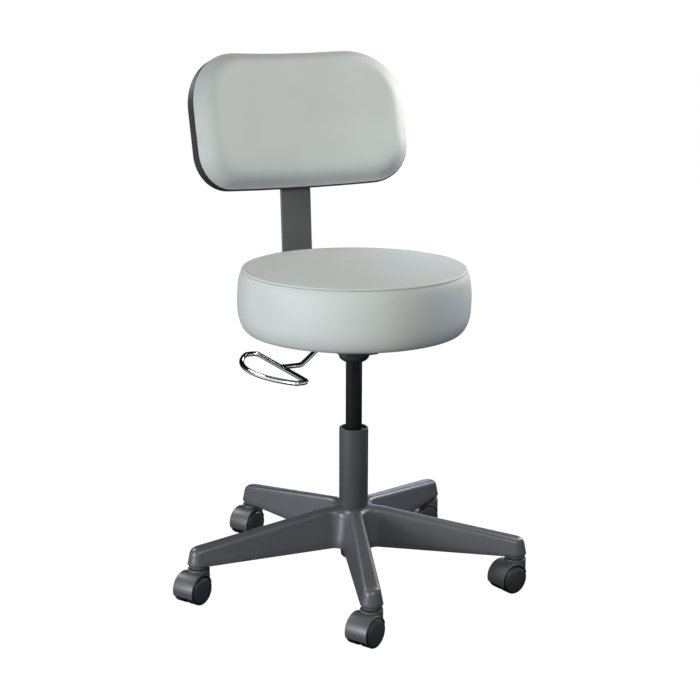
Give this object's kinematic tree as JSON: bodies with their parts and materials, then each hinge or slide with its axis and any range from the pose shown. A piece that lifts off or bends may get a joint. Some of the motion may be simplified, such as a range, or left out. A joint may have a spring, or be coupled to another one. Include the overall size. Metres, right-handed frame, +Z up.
{
  "type": "exam stool",
  "caption": "Height-adjustable exam stool: round padded seat and curved padded backrest on a flat bar, gas column, wire release lever and a star base on twin-wheel casters.",
  "frame": {"origin": "on the floor under the axis of the gas column", "axes": "+Z up; the sitter faces -Y, so +X is on the sitter's left; the release lever is at -X"},
  "size_m": [0.5844, 0.6018, 0.8873],
  "materials": {
    "birch_plywood": "matte",
    "black_acetal": "satin",
    "black_rubber": "matte",
    "black_shell_plastic": "matte",
    "blackened_steel": "satin",
    "chromed_wire": "polished",
    "glass_filled_nylon": "satin",
    "grey_coated_bar": "matte",
    "grey_vinyl": "satin",
    "moulded_caster_plastic": "satin",
    "powder_coated_steel": "satin",
    "wheel_plastic": "satin",
    "zinc_plated_steel": "satin"
  },
  "bodies": {
    "base": {"base_star": "glass_filled_nylon", "column_tube": "powder_coated_steel", "guide_bush": "black_acetal", "lower_washer": "zinc_plated_steel", "ball_ring": "zinc_plated_steel"},
    "rod": {"piston_rod": "zinc_plated_steel", "upper_washer": "zinc_plated_steel", "rod_bumper": "black_rubber", "spring_clip": "zinc_plated_steel"},
    "seat": {"gas_cylinder": "blackened_steel", "taper_socket": "blackened_steel", "mechanism_housing": "blackened_steel", "lever_pin": "zinc_plated_steel", "seat_plate": "blackened_steel", "bar_bracket": "blackened_steel", "seat_board": "birch_plywood", "seat_cushion": "grey_vinyl", "seat_bolt_1": "zinc_plated_steel", "seat_bolt_2": "zinc_plated_steel", "seat_bolt_3": "zinc_plated_steel", "seat_bolt_4": "zinc_plated_steel"},
    "button": {"valve_button": "black_acetal"},
    "lever": {"release_lever": "chromed_wire"},
    "bar": {"back_bar": "grey_coated_bar"},
    "depth_knob": {"depth_knob": "black_acetal"},
    "back": {"back_shell": "black_shell_plastic", "back_board": "birch_plywood", "back_cushion": "grey_vinyl", "back_screw_1": "zinc_plated_steel", "back_screw_2": "zinc_plated_steel", "back_screw_3": "zinc_plated_steel", "back_screw_4": "zinc_plated_steel"},
    "height_knob": {"height_knob": "black_acetal"},
    "caster_1": {"caster_hood_1": "moulded_caster_plastic", "caster_stem_1": "zinc_plated_steel", "caster_axle_1": "zinc_plated_steel"},
    "wheel_right_1": {"caster_wheel_right_1": "wheel_plastic"},
    "wheel_left_1": {"caster_wheel_left_1": "wheel_plastic"},
    "caster_2": {"caster_hood_2": "moulded_caster_plastic", "caster_stem_2": "zinc_plated_steel", "caster_axle_2": "zinc_plated_steel"},
    "wheel_right_2": {"caster_wheel_right_2": "wheel_plastic"},
    "wheel_left_2": {"caster_wheel_left_2": "wheel_plastic"},
    "caster_3": {"caster_hood_3": "moulded_caster_plastic", "caster_stem_3": "zinc_plated_steel", "caster_axle_3": "zinc_plated_steel"},
    "wheel_right_3": {"caster_wheel_right_3": "wheel_plastic"},
    "wheel_left_3": {"caster_wheel_left_3": "wheel_plastic"},
    "caster_4": {"caster_hood_4": "moulded_caster_plastic", "caster_stem_4": "zinc_plated_steel", "caster_axle_4": "zinc_plated_steel"},
    "wheel_right_4": {"caster_wheel_right_4": "wheel_plastic"},
    "wheel_left_4": {"caster_wheel_left_4": "wheel_plastic"},
    "caster_5": {"caster_hood_5": "moulded_caster_plastic", "caster_stem_5": "zinc_plated_steel", "caster_axle_5": "zinc_plated_steel"},
    "wheel_right_5": {"caster_wheel_right_5": "wheel_plastic"},
    "wheel_left_5": {"caster_wheel_left_5": "wheel_plastic"}
  },
  "joints": [
    {"name": "seat_swivel", "type": "hinge", "parent": "base", "child": "rod", "pos_m": [0, 0, 0.04819], "axis": [0, 0, 1], "continuous": true},
    {"name": "seat_lift", "type": "slide", "parent": "rod", "child": "seat", "axis": [0, 0, 1], "range_m": [-0.112, 0.015]},
    {"name": "lever_pull", "type": "hinge", "parent": "seat", "child": "lever", "pos_m": [-0.022, 0, 0.41999], "axis": [0, 1, 0], "range_deg": [0, 7], "stiffness_Nm_per_rad": 4, "springref_deg": -5.73},
    {"name": "button_press", "type": "slide", "parent": "seat", "child": "button", "axis": [0, 0, -1], "range_m": [0, 0.0028]},
    {"name": "bar_depth", "type": "slide", "parent": "seat", "child": "bar", "axis": [0, 1, 0], "range_m": [-0.02, 0.03]},
    {"name": "depth_knob_turn", "type": "hinge", "parent": "seat", "child": "depth_knob", "pos_m": [0, 0.1, 0.43149], "axis": [0, 0, -1], "range_deg": [-720, 0]},
    {"name": "back_height", "type": "slide", "parent": "bar", "child": "back", "axis": [0, 0.2588, 0.9659], "range_m": [0, 0.06]},
    {"name": "height_knob_turn", "type": "hinge", "parent": "back", "child": "height_knob", "pos_m": [0, 0.25391, 0.67867], "axis": [0, 0.9659, -0.2588], "range_deg": [-720, 0]},
    {"name": "caster_swivel_1", "type": "hinge", "parent": "base", "child": "caster_1", "pos_m": [-0.09786, -0.26554, 0.05569], "axis": [0, 0, 1], "continuous": true},
    {"name": "wheel_spin_right_1", "type": "hinge", "parent": "caster_1", "child": "wheel_right_1", "pos_m": [-0.11287, -0.27352, 0.025], "axis": [-0.4695, 0.8829, 0], "continuous": true},
    {"name": "wheel_spin_left_1", "type": "hinge", "parent": "caster_1", "child": "wheel_left_1", "pos_m": [-0.11287, -0.27352, 0.025], "axis": [-0.4695, 0.8829, 0], "continuous": true},
    {"name": "caster_swivel_2", "type": "hinge", "parent": "base", "child": "caster_2", "pos_m": [0.22231, -0.17513, 0.05569], "axis": [0, 0, 1], "continuous": true},
    {"name": "wheel_spin_right_2", "type": "hinge", "parent": "caster_2", "child": "wheel_right_2", "pos_m": [0.20556, -0.17808, 0.025], "axis": [-0.1736, 0.9848, 0], "continuous": true},
    {"name": "wheel_spin_left_2", "type": "hinge", "parent": "caster_2", "child": "wheel_left_2", "pos_m": [0.20556, -0.17808, 0.025], "axis": [-0.1736, 0.9848, 0], "continuous": true},
    {"name": "caster_swivel_3", "type": "hinge", "parent": "base", "child": "caster_3", "pos_m": [0.23525, 0.15731, 0.05569], "axis": [0, 0, 1], "continuous": true},
    {"name": "wheel_spin_right_3", "type": "hinge", "parent": "caster_3", "child": "wheel_right_3", "pos_m": [0.21846, 0.15465, 0.025], "axis": [-0.1564, 0.9877, 0], "continuous": true},
    {"name": "wheel_spin_left_3", "type": "hinge", "parent": "caster_3", "child": "wheel_left_3", "pos_m": [0.21846, 0.15465, 0.025], "axis": [-0.1564, 0.9877, 0], "continuous": true},
    {"name": "caster_swivel_4", "type": "hinge", "parent": "base", "child": "caster_4", "pos_m": [-0.07691, 0.27235, 0.05569], "axis": [0, 0, 1], "continuous": true},
    {"name": "wheel_spin_right_4", "type": "hinge", "parent": "caster_4", "child": "wheel_right_4", "pos_m": [-0.09192, 0.26437, 0.025], "axis": [-0.4695, 0.8829, 0], "continuous": true},
    {"name": "wheel_spin_left_4", "type": "hinge", "parent": "caster_4", "child": "wheel_left_4", "pos_m": [-0.09192, 0.26437, 0.025], "axis": [-0.4695, 0.8829, 0], "continuous": true},
    {"name": "caster_swivel_5", "type": "hinge", "parent": "base", "child": "caster_5", "pos_m": [-0.28279, 0.01101, 0.05569], "axis": [0, 0, 1], "continuous": true},
    {"name": "wheel_spin_right_5", "type": "hinge", "parent": "caster_5", "child": "wheel_right_5", "pos_m": [-0.29751, 0.00251, 0.025], "axis": [-0.5, 0.866, 0], "continuous": true},
    {"name": "wheel_spin_left_5", "type": "hinge", "parent": "caster_5", "child": "wheel_left_5", "pos_m": [-0.29751, 0.00251, 0.025], "axis": [-0.5, 0.866, 0], "continuous": true}
  ],
  "couplings": [
    {"joint": "button_press", "follows": "lever_pull", "m_per_rad": 0.0225}
  ]
}
